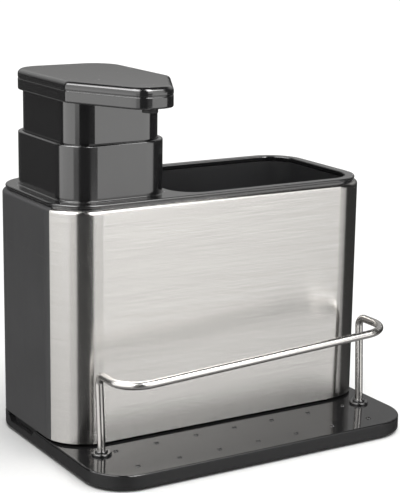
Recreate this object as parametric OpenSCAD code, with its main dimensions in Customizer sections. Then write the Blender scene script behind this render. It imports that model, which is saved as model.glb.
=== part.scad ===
// Soap pump caddy: a two-bay body that stands on a drip tray, with a pump and a wire rail.
// Millimetres. X to the right along the front, Y to the back, Z up.
// The origin is on the worktop, under the middle of the tray.

/* [Tray] */
// Width of the tray and of the body above it
caddy_w = 180; // [160:1:210]
// Corner radius of the tray, in plan
tray_r = 21; // [16:0.5:24]
// Height of the tray's top face above the worktop
tray_z = 8.2; // [7.4:0.1:10]
// Wall and top plate of the tray
tray_wall = 2.4; // [2:0.1:2.6]
// Height of the gap under the tray, left by its rubber feet
foot_gap = 1; // [0.6:0.1:1.4]
// Diameter of a rubber foot
foot_d = 13; // [10:0.5:16]
// Length of each finger notch in the tray's sides
notch_len = 30.5; // [24:0.5:34]
// Depth of each finger notch, down from the tray's top
notch_h = 3.4; // [3:0.1:3.6]

/* [Rail] */
// Diameter of the rail's wire
wire_d = 4; // [3:0.1:4.4]
// Distance from the tray's left side in to the rail's left leg
rail_left_in = 14.6; // [11:0.1:20]
// Distance from the tray's right side in to the rail's right leg
rail_right_in = 12.2; // [11:0.1:20]
// Distance from the body's front forward to the legs
rail_leg_gap = 10.4; // [8:0.1:16]
// Distance from the legs forward to the rail's front run
rail_reach = 24; // [20:0.1:32]
// Distance from the rail's front run forward to the tray's edge
rail_front_in = 7.9; // [6:0.1:12]
// Height of the rail's left end above the worktop
rail_left_z = 47.5; // [42:0.5:54]
// Height of the rail's right end above the worktop
rail_right_z = 55; // [42:0.5:60]
// How far the legs lean back at their tops
rail_lean = 2.2; // [0:0.1:4]
// Bend radius of the rail's front corners
rail_corner_r = 14; // [10:0.5:18]
// Bend radius at the top of each leg
rail_leg_r = 4.5; // [4:0.1:7]

/* [Body] */
// Depth of the body, from the tray's back edge forward
body_d = 84.5; // [76:0.1:96]
// Corner radius of the body, in plan
body_r = 21.2; // [18:0.1:23]
// Height of the body's top edge above the worktop
body_z = 124.5; // [116:0.5:136]
// Wall of the body
body_wall = 2.6; // [2.2:0.1:2.8]
// Shadow gap between the tray's top and the body's lower edge
body_gap = 1.2; // [0.8:0.1:1.6]
// Thickness of the steel sheet on the front
steel_t = 0.8; // [0.5:0.1:1]
// How far the steel sheet wraps round each front corner, in degrees
steel_wrap_angle = 75; // [60:1:85]

/* [Top cover] */
// Thickness of the cover's deck
deck_t = 2.5; // [2.4:0.1:3.6]
// How far the deck stands in from the body's outline
deck_inset = 1.6; // [1.3:0.1:1.8]
// Distance from the collar to the opening over the brush well
well_gap = 3.5; // [3.1:0.1:8]
// Wall of the brush well
well_wall = 1.8; // [1.4:0.1:1.9]

/* [Collar and head] */
// Width of the collar that guides the pump head
collar_w = 56.5; // [54:0.5:58]
// Distance from the body's front and back in to the collar
collar_front_in = 8.25; // [7:0.05:11]
// Corner radius of the collar
collar_r = 15; // [12:0.5:17]
// Height of the collar above the deck
collar_h = 27; // [24:0.5:32]
// Wall of the collar
collar_wall = 2.3; // [2:0.1:2.5]
// Distance from the body's left side to the collar
collar_side_in = 7.5; // [6.8:0.1:8]
// Running gap between the collar and the sliding sleeve
sleeve_gap = 0.3; // [0.2:0.05:0.4]
// Travel of the pump head
pump_stroke = 18; // [14:0.5:19]
// Gap that stays between the collar and the head when the pump is pressed
head_down_gap = 2.5; // [1.5:0.1:6]
// Height of the head
head_h = 10; // [9.6:0.1:12]
// Height of the cap on top of the head
head_cap_h = 4; // [3.6:0.1:4.4]
// How far the spout reaches in front of the collar
spout_reach = 33.5; // [30:0.5:40]

/* [Pump and tank] */
// Bore of the pump chamber
chamber_bore = 14; // [13:0.1:15]
// Wall of the pump chamber
chamber_wall = 2; // [1.6:0.1:2.4]
// Diameter of the pump stem
stem_d = 9; // [8:0.1:9.6]
// Running clearance of the piston and the stem, on radius
pump_fit = 0.04; // [0.02:0.01:0.08]
// Wall of the soap tank
tank_wall = 1.8; // [1.4:0.1:2.4]
// Outer diameter of the dip tube
dip_d = 6; // [5:0.1:6.6]
// Diameter of the spring's wire
spring_wire_d = 1; // [0.8:0.1:1.2]

/* [Hidden] */
$fn = 64;
over = 1;
lap = 0.2;
fit = 0.02;
seat_gap = 0.3;
arc_steps = 12;
crown_steps = 4;

// Tray
tray_edge_r = 0.8;
tray_bottom_z = foot_gap;
tray_rib_t = 1.8;
tray_rib_lift = 0.8;
foot_boss_wall = 1.4;
foot_recess = 1.2;
foot_inset = 15.5;
foot_edge_r = 0.6;
notch_slope = 3;
notch_depth = 2.8;
notch_back = 20.4;
notch_wall = 1.6;
pip_r = 1.6;
pip_rise = 0.8;
pip_side_in = 22.5;
pip_count = 7;
pip_front_in = 10.1;
pip_back_in = 10.2;
locator_t = 2;
locator_h = 4.4;
locator_gap = 0.5;
locator_side_len = 30;
locator_front_len = 44;
locator_end_in = 1.8;

// Rail
bush_wall = 3;
bush_flange_h = 1.3;
bush_rise = 2.3;
bush_edge_r = 0.7;
bush_neck_wall = 1.2;
bush_drop = 0.8;
nut_rim_w = 2.5;
nut_t = 0.8;
nut_hub_wall = 1;
nut_hub_h = 0.8;
wire_tail = 0.6;
wire_sides = 20;
bend_steps = 9;

// Body
body_edge_r = 2;
body_floor_t = 2.4;
drain_slot_w = 5;
drain_slot_r = 2.4;
drain_hole_d = 4;
drain_cols = 5;
drain_rows = 3;
drain_side_in = 14.65;
drain_front_in = 15.45;

// Top cover
deck_edge_r = 0.75;
deck_groove_in = 0.5;
deck_groove_h = 0.8;
well_edge_r = 0.6;
well_floor_r = 3;
skirt_gap = 0.3;
skirt_t = 1.8;
skirt_h = 6;
collar_edge_r = 0.9;
collar_foot_r = 0.5;
collar_rim_r = 0.5;
seal_t = 2.5;
seal_w = 4;

// Head
sleeve_wall = 2;
sleeve_foot_gap = 1;
head_wall = 2;
head_edge_r = 2;
head_line = 0.4;
head_back_r = 15.5;
head_side_r = 5;
head_tip_r = 10;
head_tip_flat = 5;
nozzle_d = 7.4;
nozzle_bore = 3.6;
nozzle_drop = 2.2;
nozzle_in = 7.2;
channel_gap = 0.2;
channel_bore_r = 1.7;
cross_bore_r = 1.4;
channel_cap_drop = 0.4;

// Pump
chamber_d = chamber_bore + chamber_wall * 2;
chamber_flange_w = 6;
chamber_flange_t = 2.5;
chamber_spare = 37;
chamber_floor_t = 3;
inlet_d = 4.4;
nipple_wall = 1.8;
nipple_len = 10;
washer_t = 1.5;
nut_ring_w = 6;
nut_ring_h = 6;
cap_t = 3;
cap_plug_h = 4.2;
inlet_ball_r = 3;
inlet_ball_lift = 1.5;
cage_wall_in = 1.2;
cage_top_t = 1.5;
cage_port_d = 1.6;
dip_bore = 4;
dip_foot_gap = 1.8;
piston_h = 9.5;
piston_lip_h = 2.4;
piston_waist = 1;
stem_bore_r = 2;
outlet_ball_r = 2.2;
outlet_port_r = 1.5;
outlet_pocket_r = 3;
outlet_port_t = 2;
outlet_ball_lift = 1.2;
socket_wall = 3;
socket_len = 15;
stem_lap = 9;
spring_turns = 8;
spring_rings = 16;
spring_sides = 6;
spring_gap = 1;

// Derived places
tray_d = body_d + rail_leg_gap + rail_reach + rail_front_in;
body_back_y = tray_d / 2;
body_front_y = body_back_y - body_d;
body_y = (body_back_y + body_front_y) / 2;
body_low_z = tray_z + body_gap;
floor_z = tray_z + locator_h;
floor_top_z = floor_z + body_floor_t;
deck_z = body_z + deck_t;
skirt_in = body_wall + skirt_gap;
tank_in = skirt_in + skirt_t + skirt_gap;
well_in = tank_in + well_wall;
well_w = caddy_w - collar_side_in - collar_w - well_gap - well_in;
well_d = body_d - well_in * 2;
well_r = body_r - well_in;
well_x = caddy_w / 2 - well_in - well_w / 2;
well_y = body_y;
drain_pitch_x = (well_w - drain_side_in * 2) / (drain_cols - 1);
drain_pitch_y = (well_d - drain_front_in * 2) / (drain_rows - 1);
collar_d = body_d - collar_front_in * 2;
collar_x = -caddy_w / 2 + collar_side_in + collar_w / 2;
collar_y = body_y;
collar_z = deck_z + collar_h;
head_z = collar_z + pump_stroke + head_down_gap;
head_top_z = head_z + head_h;
cap_z = head_top_z - head_cap_h;
spout_tip_y = collar_y - collar_d / 2 - spout_reach;
nozzle_y = spout_tip_y + nozzle_in;
channel_z = head_z + head_h / 2;
channel_r = head_h / 2 - head_wall - channel_gap;
rail_left_x = -caddy_w / 2 + rail_left_in;
rail_right_x = caddy_w / 2 - rail_right_in;
rail_leg_y = body_front_y - rail_leg_gap;
rail_front_y = rail_leg_y - rail_reach;
wire_r = wire_d / 2;
pip_pitch = (caddy_w - pip_side_in * 2) / (pip_count - 1);
tank_top_z = body_z - seal_t;
tank_left_x = -caddy_w / 2 + tank_in;
tank_right_x = well_x - well_w / 2 - well_wall - skirt_gap * 5;
tank_w = tank_right_x - tank_left_x;
tank_x = (tank_left_x + tank_right_x) / 2;
tank_d = body_d - tank_in * 2;
tank_r = body_r - tank_in;
chamber_r = chamber_d / 2;
flange_r = chamber_r + chamber_flange_w;
chamber_low_z = body_z - pump_stroke - chamber_spare;
chamber_floor_z = chamber_low_z + chamber_floor_t;
flange_z = deck_z + washer_t;
cap_ring_z = flange_z + chamber_flange_t;
cap_plug_z = cap_ring_z - cap_plug_h;
ball_seat_h = sqrt(pow(inlet_ball_r, 2) - pow(inlet_d / 2, 2));
inlet_ball_z = chamber_floor_z + ball_seat_h + fit;
cage_inner_top_z = inlet_ball_z + inlet_ball_r + inlet_ball_lift + fit;
cage_top_z = cage_inner_top_z + cage_top_t;
piston_top_z = cap_plug_z - seat_gap;
piston_low_z = piston_top_z - piston_h;
stem_top_z = head_z + head_wall - stem_lap;
outlet_seat_h = sqrt(pow(outlet_ball_r, 2) - pow(outlet_port_r, 2));
outlet_stop_h = sqrt(pow(outlet_ball_r, 2) - pow(channel_bore_r, 2));
outlet_pocket_h = outlet_seat_h + outlet_ball_lift + outlet_stop_h + fit * 2;
stem_seat_z = stem_top_z - outlet_pocket_h;
outlet_ball_z = stem_seat_z + outlet_seat_h + fit;
spring_r = chamber_bore / 2 - spring_wire_d / 2 - spring_gap;

black = "#2b2b2c";
dark = "#38383a";
steel = "#c9c7c2";
rubber = "#1c1c1d";
clear = "#dfe6e8";
white = "#e9e9e6";

// Corner circles [x, y, radius] of a rounded rectangle, counter-clockwise
function rect_corners(w, d, r, x = 0, y = 0) =
    [for (s = [[1, 1], [-1, 1], [-1, -1], [1, -1]]) [x + s.x * (w / 2 - r), y + s.y * (d / 2 - r), r]];

// The same corner circles with every side moved in
function inset(corners, by) = [for (c = corners) [c.x, c.y, c[2] - by]];

function next(corners, i) = corners[(i + 1) % len(corners)];

// Direction of the outward normal on the side that follows corner i
function side_normal(corners, i) =
    let (p = corners[i], q = next(corners, i), v = [q.x - p.x, q.y - p.y])
    atan2(v.y, v.x) - acos((p[2] - q[2]) / norm(v));

// Angle that the outline turns through at corner i
function corner_turn(corners, i) =
    let (n = len(corners), t = side_normal(corners, i) - side_normal(corners, (i + n - 1) % n))
    t - 360 * floor(t / 360);

function on_circle(c, a) = [c.x + c[2] * cos(a), c.y + c[2] * sin(a)];

// Filled outline round a list of corner circles
module plan(corners) {
    polygon([for (i = [0 : len(corners) - 1], e = [0, 1])
        on_circle(e == 0 ? corners[i] : next(corners, i), side_normal(corners, i))]);
    for (c = corners) if (c[2] > 0) translate([c.x, c.y]) circle(c[2]);
}

// Points of an outline whose corners are arcs of a few short sides
function outline_points(corners) = [for (i = [0 : len(corners) - 1])
    let (a = side_normal(corners, i) - corner_turn(corners, i), turn = corner_turn(corners, i))
    each [for (k = [0 : arc_steps]) on_circle(corners[i], a + turn * k / arc_steps)]];

// Prism on such an outline
module prism(corners, z0, z1) {
    translate([0, 0, z0]) linear_extrude(z1 - z0) polygon(outline_points(corners));
}

// Prism with its top outer edge rounded
module crowned_prism(corners, z0, z1, r) {
    hull() {
        prism(corners, z0, z1 - r);
        for (a = [0 : 90 / crown_steps : 90]) let (top = z1 - r + r * sin(a))
            prism(inset(corners, r - r * cos(a)), z0, top);
    }
}

// Carries a profile round the outline; the profile's x is 0 on the outline and negative inside it
module sweep(corners) {
    n = len(corners);
    for (i = [0 : n - 1]) {
        c = corners[i];
        a = side_normal(corners, i);
        from = on_circle(c, a);
        to = on_circle(next(corners, i), a);
        run = norm(to - from);
        translate([c.x, c.y, 0]) rotate([0, 0, side_normal(corners, (i + n - 1) % n)])
            rotate_extrude(angle = corner_turn(corners, i)) translate([c[2], 0]) children();
        translate([from.x, from.y, 0]) rotate([0, 0, a]) translate([0, run, 0])
            rotate([90, 0, 0]) linear_extrude(run) children();
    }
}

// Profile of a wall of thickness t from z0 to z1, with its outer edges and its inner rim rounded
module wall_profile(t, z0, z1, top = 0, bottom = 0, rim = 0) {
    difference() {
        translate([-t, z0]) square([t, z1 - z0]);
        edge_waste(z0, z1, top, bottom);
        if (rim > 0) translate([-t, z1]) rim_waste(rim);
    }
}

// Profile of a round piece of radius r, for turning, with its outer edges rounded
module disc_profile(r, z0, z1, top = 0, bottom = 0) {
    difference() {
        translate([0, z0]) square([r, z1 - z0]);
        translate([r, 0]) edge_waste(z0, z1, top, bottom);
    }
}

module edge_waste(z0, z1, top, bottom) {
    if (top > 0) translate([-top, z1 - top]) corner_waste(top);
    if (bottom > 0) translate([-bottom, z0 + bottom]) mirror([0, 1]) corner_waste(bottom);
}

module corner_waste(r) {
    difference() {
        square(r + over);
        circle(r);
    }
}

// What rounds the top edge of a wall that starts at x = 0 and ends at a height of 0
module rim_waste(r) {
    translate([r, -r]) mirror([1, 0]) corner_waste(r);
}

module slab(corners, z0, z1) {
    translate([0, 0, z0]) linear_extrude(z1 - z0) plan(corners);
}

// Solid plate on an outline, with its outer edges rounded
module plate(corners, z0, z1, top = 0, bottom = 0) {
    t = max(top, bottom) * 2;
    sweep(corners) wall_profile(t, z0, z1, top, bottom);
    slab(inset(corners, t - lap), z0, z1);
}

// Upright tube on an outline
module ring_wall(corners, t, z0, z1, top = 0, bottom = 0, rim = 0) {
    sweep(corners) wall_profile(t, z0, z1, top, bottom, rim);
}

function unit(v) = v / norm(v);

// Direction of a path at point i
function heading(path, i) = unit(path[min(i + 1, len(path) - 1)] - path[max(i - 1, 0)]);

// One sideways direction per point, turned no more than the path turns
function side_directions(path, i, last) = i == len(path) ? [] :
    let (t = heading(path, i), d = unit(last - (last * t) * t))
    concat([d], side_directions(path, i + 1, d));

// Round wire along a path of points
module wire(path, r, sides) {
    d = side_directions(path, 0, [1, 0, 0]);
    last = len(path) - 1;
    points = [for (i = [0 : last], k = [0 : sides - 1])
        let (b = 360 * k / sides)
        path[i] + r * (cos(b) * d[i] - sin(b) * cross(heading(path, i), d[i]))];
    walls = [for (i = [0 : last - 1], k = [0 : sides - 1])
        let (a = i * sides + k, b = i * sides + (k + 1) % sides)
        each [[a, b, a + sides], [b, b + sides, a + sides]]];
    ends = [[for (k = [sides - 1 : -1 : 0]) k], [for (k = [0 : sides - 1]) last * sides + k]];
    polyhedron(points, concat(walls, ends), convexity = 4);
}

module tube(r, bore_r, z0, z1) {
    translate([0, 0, z0]) difference() {
        cylinder(r = r, h = z1 - z0);
        translate([0, 0, -over]) cylinder(r = bore_r, h = z1 - z0 + over * 2);
    }
}

module at_pump() {
    translate([collar_x, collar_y, 0]) children();
}

module at_legs() {
    for (x = [rail_left_x, rail_right_x]) translate([x, rail_leg_y, 0]) children();
}

module at_feet() {
    for (sx = [-1, 1], sy = [-1, 1])
        translate([sx * (caddy_w / 2 - foot_inset), sy * (tray_d / 2 - foot_inset), 0]) children();
}

// Outlines
tray_plan = rect_corners(caddy_w, tray_d, tray_r);
body_plan = rect_corners(caddy_w, body_d, body_r, 0, body_y);
deck_plan = inset(body_plan, deck_inset);
well_plan = rect_corners(well_w, well_d, well_r, well_x, well_y);
well_outer_plan = inset(well_plan, -well_wall);
tank_plan = rect_corners(tank_w, tank_d, tank_r, tank_x, body_y);
collar_plan = rect_corners(collar_w, collar_d, collar_r, collar_x, collar_y);
sleeve_plan = inset(collar_plan, collar_wall + sleeve_gap);
head_half_w = collar_w / 2;
head_back_y = collar_y + collar_d / 2;
head_side_y = collar_y - collar_d / 2 + head_side_r;
head_plan = [
    [collar_x + head_half_w - head_back_r, head_back_y - head_back_r, head_back_r],
    [collar_x - head_half_w + head_back_r, head_back_y - head_back_r, head_back_r],
    [collar_x - head_half_w + head_side_r, head_side_y, head_side_r],
    [collar_x - head_tip_flat / 2, spout_tip_y + head_tip_r, head_tip_r],
    [collar_x + head_tip_flat / 2, spout_tip_y + head_tip_r, head_tip_r],
    [collar_x + head_half_w - head_side_r, head_side_y, head_side_r]
];

module base_tray() color(black) {
    rib_z = tray_bottom_z + tray_rib_lift;
    plate_low_z = tray_z - tray_wall;
    difference() {
        union() {
            ring_wall(tray_plan, tray_wall, tray_bottom_z, tray_z, tray_edge_r, tray_edge_r);
            slab(inset(tray_plan, tray_wall - lap), plate_low_z, tray_z);
            tray_ribs(rib_z, plate_low_z + lap);
            at_feet() translate([0, 0, tray_bottom_z])
                cylinder(d = foot_d + foot_boss_wall * 2, h = plate_low_z + lap - tray_bottom_z);
            for (s = [-1, 1]) notch_pocket(s, notch_wall, plate_low_z - notch_h + tray_wall - notch_wall);
        }
        at_feet() translate([0, 0, tray_bottom_z - over])
            cylinder(r = foot_d / 2 + fit, h = foot_recess + over);
        at_legs() translate([0, 0, plate_low_z - over])
            cylinder(r = wire_r + bush_neck_wall + fit, h = tray_wall + over * 2);
        for (s = [-1, 1]) notch_cut(s);
    }
    tray_pips();
    body_locators();
}

module tray_ribs(z0, z1) {
    inner_w = caddy_w - tray_wall * 2 + lap * 2;
    inner_d = tray_d - tray_wall * 2 + lap * 2;
    for (y = [body_front_y, body_back_y - body_d / 3])
        translate([-inner_w / 2, y - tray_rib_t / 2, z0]) cube([inner_w, tray_rib_t, z1 - z0]);
    for (s = [-1, 1])
        translate([s * caddy_w / 6 - tray_rib_t / 2, -inner_d / 2, z0]) cube([tray_rib_t, inner_d, z1 - z0]);
}

// Finger notch outline in Y and Z, with sloping ends
module notch_outline(grow) {
    y0 = tray_d / 2 - notch_back - notch_len;
    translate([y0, tray_z]) polygon([
        [-grow - notch_slope, over], [-grow, -grow / 2], [notch_slope - grow, -notch_h - grow],
        [notch_len - notch_slope + grow, -notch_h - grow], [notch_len + grow, -grow / 2],
        [notch_len + grow + notch_slope, over]
    ]);
}

module notch_cut(side) {
    translate([side * caddy_w / 2, 0, 0]) mirror([side > 0 ? 1 : 0, 0, 0]) translate([-over, 0, 0])
        rotate([90, 0, 90]) linear_extrude(notch_depth + over) notch_outline(0);
}

module notch_pocket(side, t, low_z) {
    y0 = tray_d / 2 - notch_back - notch_len - t;
    depth = notch_depth + t;
    x0 = side > 0 ? caddy_w / 2 - tray_wall / 2 - depth : -caddy_w / 2 + tray_wall / 2;
    translate([x0, y0, low_z]) cube([depth, notch_len + t * 2, tray_z - tray_wall + lap - low_z]);
}

module tray_pips() {
    for (y = [-tray_d / 2 + pip_front_in, body_front_y - pip_back_in], i = [0 : pip_count - 1])
        translate([(i - (pip_count - 1) / 2) * pip_pitch, y, tray_z])
            intersection() {
                translate([0, 0, pip_rise - pip_r]) sphere(pip_r);
                translate([-pip_r, -pip_r, -tray_edge_r]) cube([pip_r * 2, pip_r * 2, pip_r * 2]);
            }
}

// Ribs that carry the body and keep it in place
module body_locators() {
    in = body_wall + locator_gap;
    h = locator_h + tray_edge_r;
    z0 = tray_z - tray_edge_r;
    for (s = [-1, 1]) {
        translate([s * (caddy_w / 2 - in - locator_t / 2) - locator_t / 2,
                   body_y - locator_side_len / 2, z0])
            cube([locator_t, locator_side_len, h]);
        for (y = [body_front_y + in, body_back_y - in - locator_t])
            translate([s * (caddy_w / 2 - body_r - locator_end_in - locator_front_len / 2), y, z0])
                translate([-locator_front_len / 2, 0, 0]) cube([locator_front_len, locator_t, h]);
    }
}

module rubber_feet() color(rubber) at_feet()
    rotate_extrude() disc_profile(foot_d / 2, 0, foot_gap + foot_recess, 0, foot_edge_r);

// Quarter circle of points in space, from direction u to direction v
function quarter(centre, u, v, r) =
    [for (k = [0 : bend_steps]) let (a = 90 * k / bend_steps) centre + r * (u * cos(a) + v * sin(a))];

function rail_path(z0, z1) =
    let (left = [rail_left_x, rail_front_y, rail_left_z],
         right = [rail_right_x, rail_front_y, rail_right_z],
         along = unit(right - left), y = [0, 1, 0], z = [0, 0, 1],
         leg = [0, rail_leg_y + rail_lean - rail_front_y - rail_leg_r, -rail_leg_r])
    concat(
        [[left.x, rail_leg_y, z0], [left.x, rail_leg_y, z1]],
        quarter(left + leg, y, z, rail_leg_r),
        quarter(left + rail_corner_r * (along + y), -along, -y, rail_corner_r),
        quarter(right + rail_corner_r * (y - along), -y, along, rail_corner_r),
        quarter(right + leg, z, y, rail_leg_r),
        [[right.x, rail_leg_y, z1], [right.x, rail_leg_y, z0]]);

module wire_rail() color(steel) {
    low_z = tray_z - tray_wall - bush_drop - nut_t - nut_hub_h - wire_tail;
    wire(rail_path(low_z, tray_z + bush_rise + over), wire_r, wire_sides);
}

module rail_bushes() color(rubber) at_legs()
    rotate_extrude() difference() {
        union() {
            disc_profile(wire_r + bush_wall, tray_z, tray_z + bush_flange_h, bush_edge_r);
            disc_profile(wire_r + bush_neck_wall, tray_z - tray_wall - bush_drop, tray_z + bush_rise,
                         bush_edge_r);
        }
        translate([-over, tray_z - tray_wall - bush_drop - over])
            square([over + wire_r + fit, tray_wall + bush_drop + bush_rise + over * 2]);
    }

module rail_push_nuts() color(steel) {
    top_z = tray_z - tray_wall - bush_drop;
    at_legs() {
        tube(wire_r + nut_rim_w, wire_r + fit, top_z - nut_t, top_z);
        tube(wire_r + nut_hub_wall, wire_r + fit, top_z - nut_t - nut_hub_h, top_z - nut_t + lap);
    }
}

// Ring sector that the steel sheet fills, round the front and its two corners
module front_wrap() {
    c = body_plan[3];
    for (side = [0, 1]) mirror([side, 0, 0]) translate([c.x, c.y, 0]) rotate([0, 0, 270])
        rotate_extrude(angle = steel_wrap_angle) translate([c[2], 0]) children();
    translate([-c.x, body_front_y, 0]) rotate([0, 0, 270]) translate([0, c.x * 2, 0])
        rotate([90, 0, 0]) linear_extrude(c.x * 2) children();
}

// Profile of what lies inside the steel sheet, rounded at the top like the sheet
module steel_backing() {
    translate([-steel_t, 0])
        wall_profile(body_edge_r, body_low_z - over, body_z - steel_t, body_edge_r - steel_t);
}

module body_shell() color(dark) {
    difference() {
        ring_wall(body_plan, body_wall, body_low_z, body_z, body_edge_r);
        front_wrap() difference() {
            translate([-body_edge_r, body_low_z - over])
                square([body_edge_r + over, body_z - body_low_z + over * 2]);
            steel_backing();
        }
    }
    difference() {
        slab(inset(body_plan, body_wall - lap), floor_z, floor_top_z);
        for (i = [0 : drain_rows - 1])
            translate([well_x, well_y + (i - (drain_rows - 1) / 2) * drain_pitch_y, floor_z - over])
                linear_extrude(body_floor_t + over * 2) plan(rect_corners(
                    drain_pitch_x * (drain_cols - 1) + drain_slot_w * 2, drain_slot_w, drain_slot_r));
    }
}

module steel_wrap() color(steel) front_wrap() difference() {
    wall_profile(body_edge_r, body_low_z, body_z, body_edge_r);
    steel_backing();
}

module brush_well() color(black) {
    top_z = body_z - seat_gap;
    floor_low = floor_top_z;
    floor_top = floor_low + well_wall;
    ring_wall(well_outer_plan, well_wall, floor_low, top_z);
    sweep(well_plan) translate([-well_floor_r, floor_top]) difference() {
        translate([0, -lap]) square([well_floor_r + lap, well_floor_r + lap]);
        translate([0, well_floor_r]) circle(well_floor_r);
    }
    difference() {
        slab(inset(well_outer_plan, well_wall - lap), floor_low, floor_top);
        for (i = [0 : drain_cols - 1], j = [0 : drain_rows - 1])
            translate([well_x + (i - (drain_cols - 1) / 2) * drain_pitch_x,
                       well_y + (j - (drain_rows - 1) / 2) * drain_pitch_y, floor_low - over])
                cylinder(d = drain_hole_d, h = well_wall + over * 2);
    }
}

module soap_tank() color(clear) {
    ring_wall(tank_plan, tank_wall, floor_top_z, tank_top_z);
    slab(inset(tank_plan, tank_wall - lap), floor_top_z, floor_top_z + tank_wall);
}

module top_cover() color(black) {
    difference() {
        union() {
            plate(deck_plan, body_z + deck_groove_h, deck_z, deck_edge_r, deck_edge_r);
            slab(inset(deck_plan, deck_groove_in), body_z, body_z + deck_groove_h + deck_edge_r);
        }
        slab(well_plan, body_z - over, deck_z + over);
        sweep(well_plan) translate([0, deck_z]) rim_waste(well_edge_r);
        at_pump() translate([0, 0, body_z - over]) cylinder(r = chamber_r + fit, h = deck_t + over * 2);
    }
    ring_wall(inset(body_plan, skirt_in), skirt_t, body_z - skirt_h, body_z + lap);
    collar();
}

module collar() {
    ring_wall(collar_plan, collar_wall, deck_z - lap, collar_z, collar_edge_r, 0, collar_rim_r);
    sweep(collar_plan) difference() {
        translate([-lap, deck_z - lap]) square(collar_foot_r + lap);
        translate([collar_foot_r, deck_z + collar_foot_r]) circle(collar_foot_r);
    }
}

module tank_seal() color(rubber)
    ring_wall(tank_plan, seal_w, tank_top_z, body_z);

module pump_chamber() color(white) at_pump() {
    difference() {
        union() {
            translate([0, 0, chamber_low_z]) cylinder(r = chamber_r, h = cap_ring_z - chamber_low_z);
            translate([0, 0, flange_z]) cylinder(r = flange_r, h = chamber_flange_t);
            translate([0, 0, chamber_low_z - nipple_len])
                cylinder(r = dip_d / 2 + nipple_wall, h = nipple_len + lap);
        }
        translate([0, 0, chamber_floor_z]) cylinder(d = chamber_bore, h = cap_ring_z);
        translate([0, 0, chamber_low_z - nipple_len - over])
            cylinder(d = inlet_d, h = nipple_len + chamber_floor_t + over * 2);
        translate([0, 0, chamber_low_z - nipple_len - over])
            cylinder(r = dip_d / 2 + fit, h = nipple_len + over);
    }
}

module chamber_washer() color(rubber) at_pump()
    tube(flange_r, chamber_r + fit, deck_z, flange_z);

module chamber_nut() color(white) at_pump()
    tube(chamber_r + nut_ring_w, chamber_r + fit, body_z - nut_ring_h, body_z);

module chamber_cap() color(white) at_pump() difference() {
    union() {
        translate([0, 0, cap_ring_z]) cylinder(r = flange_r, h = cap_t);
        translate([0, 0, cap_plug_z]) cylinder(r = chamber_bore / 2 - fit, h = cap_plug_h + lap);
    }
    translate([0, 0, cap_plug_z - over])
        cylinder(r = stem_d / 2 + pump_fit, h = cap_t + cap_plug_h + over * 2);
}

module ball_cage() color(white) at_pump() {
    pocket_r = inlet_ball_r + cage_wall_in;
    difference() {
        translate([0, 0, chamber_floor_z])
            cylinder(r = chamber_bore / 2 - fit, h = cage_top_z - chamber_floor_z);
        translate([0, 0, chamber_floor_z - over])
            cylinder(r = pocket_r, h = cage_inner_top_z - chamber_floor_z + over);
        for (a = [0, 90, 180, 270]) rotate([0, 0, a])
            translate([inlet_ball_r - cage_port_d / 2, 0, cage_inner_top_z - over])
                cylinder(d = cage_port_d, h = cage_top_t + over * 2);
    }
}

module inlet_ball() color(steel) at_pump()
    translate([0, 0, inlet_ball_z]) sphere(inlet_ball_r);

module dip_tube() color(clear) at_pump()
    tube(dip_d / 2, dip_bore / 2, floor_top_z + tank_wall + dip_foot_gap, chamber_low_z);

module return_spring() color(steel) at_pump() {
    z0 = cage_top_z + spring_wire_d / 2;
    rise = (piston_low_z - cage_top_z - spring_wire_d) / spring_turns;
    wire([for (i = [0 : spring_turns * spring_rings]) let (t = i / spring_rings, a = 360 * t)
        [spring_r * cos(a), spring_r * sin(a), z0 + rise * t]], spring_wire_d / 2, spring_sides);
}

module pump_stem() color(white) at_pump() difference() {
    translate([0, 0, piston_low_z]) cylinder(d = stem_d, h = stem_top_z - piston_low_z);
    translate([0, 0, piston_low_z - over])
        cylinder(r = stem_bore_r, h = stem_seat_z - outlet_port_t - piston_low_z + over);
    translate([0, 0, piston_low_z]) cylinder(r = outlet_port_r, h = stem_top_z - piston_low_z);
    translate([0, 0, stem_seat_z]) cylinder(r = outlet_pocket_r, h = outlet_pocket_h + over);
}

module piston() color(rubber) at_pump() difference() {
    union() {
        translate([0, 0, piston_low_z])
            cylinder(r = chamber_bore / 2 - piston_waist, h = piston_h);
        for (z = [piston_low_z, piston_top_z - piston_lip_h])
            translate([0, 0, z]) cylinder(r = chamber_bore / 2 - pump_fit, h = piston_lip_h);
    }
    translate([0, 0, piston_low_z - over]) cylinder(r = stem_d / 2 + fit, h = piston_h + over * 2);
}

module outlet_ball() color(steel) at_pump()
    translate([0, 0, outlet_ball_z]) sphere(outlet_ball_r);

module guide_sleeve() color(dark)
    ring_wall(sleeve_plan, sleeve_wall, deck_z + pump_stroke + sleeve_foot_gap, head_z);

module head_shell() color(black) {
    floor_top = head_z + head_wall;
    difference() {
        union() {
            difference() {
                union() {
                    prism(head_plan, head_z, cap_z - head_line);
                    prism(inset(head_plan, head_line), head_z, cap_z);
                }
                prism(inset(head_plan, head_wall), floor_top, cap_z + over);
            }
            at_pump() translate([0, 0, floor_top - head_wall - socket_len])
                cylinder(d = stem_d + socket_wall * 2, h = socket_len + head_wall);
        }
        at_pump() translate([0, 0, floor_top - head_wall - socket_len - over])
            cylinder(r = stem_d / 2 + fit, h = socket_len + head_wall + over * 2);
        translate([collar_x, nozzle_y, head_z - over])
            cylinder(r = nozzle_d / 2 + fit, h = head_wall + over * 2);
    }
}

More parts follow.
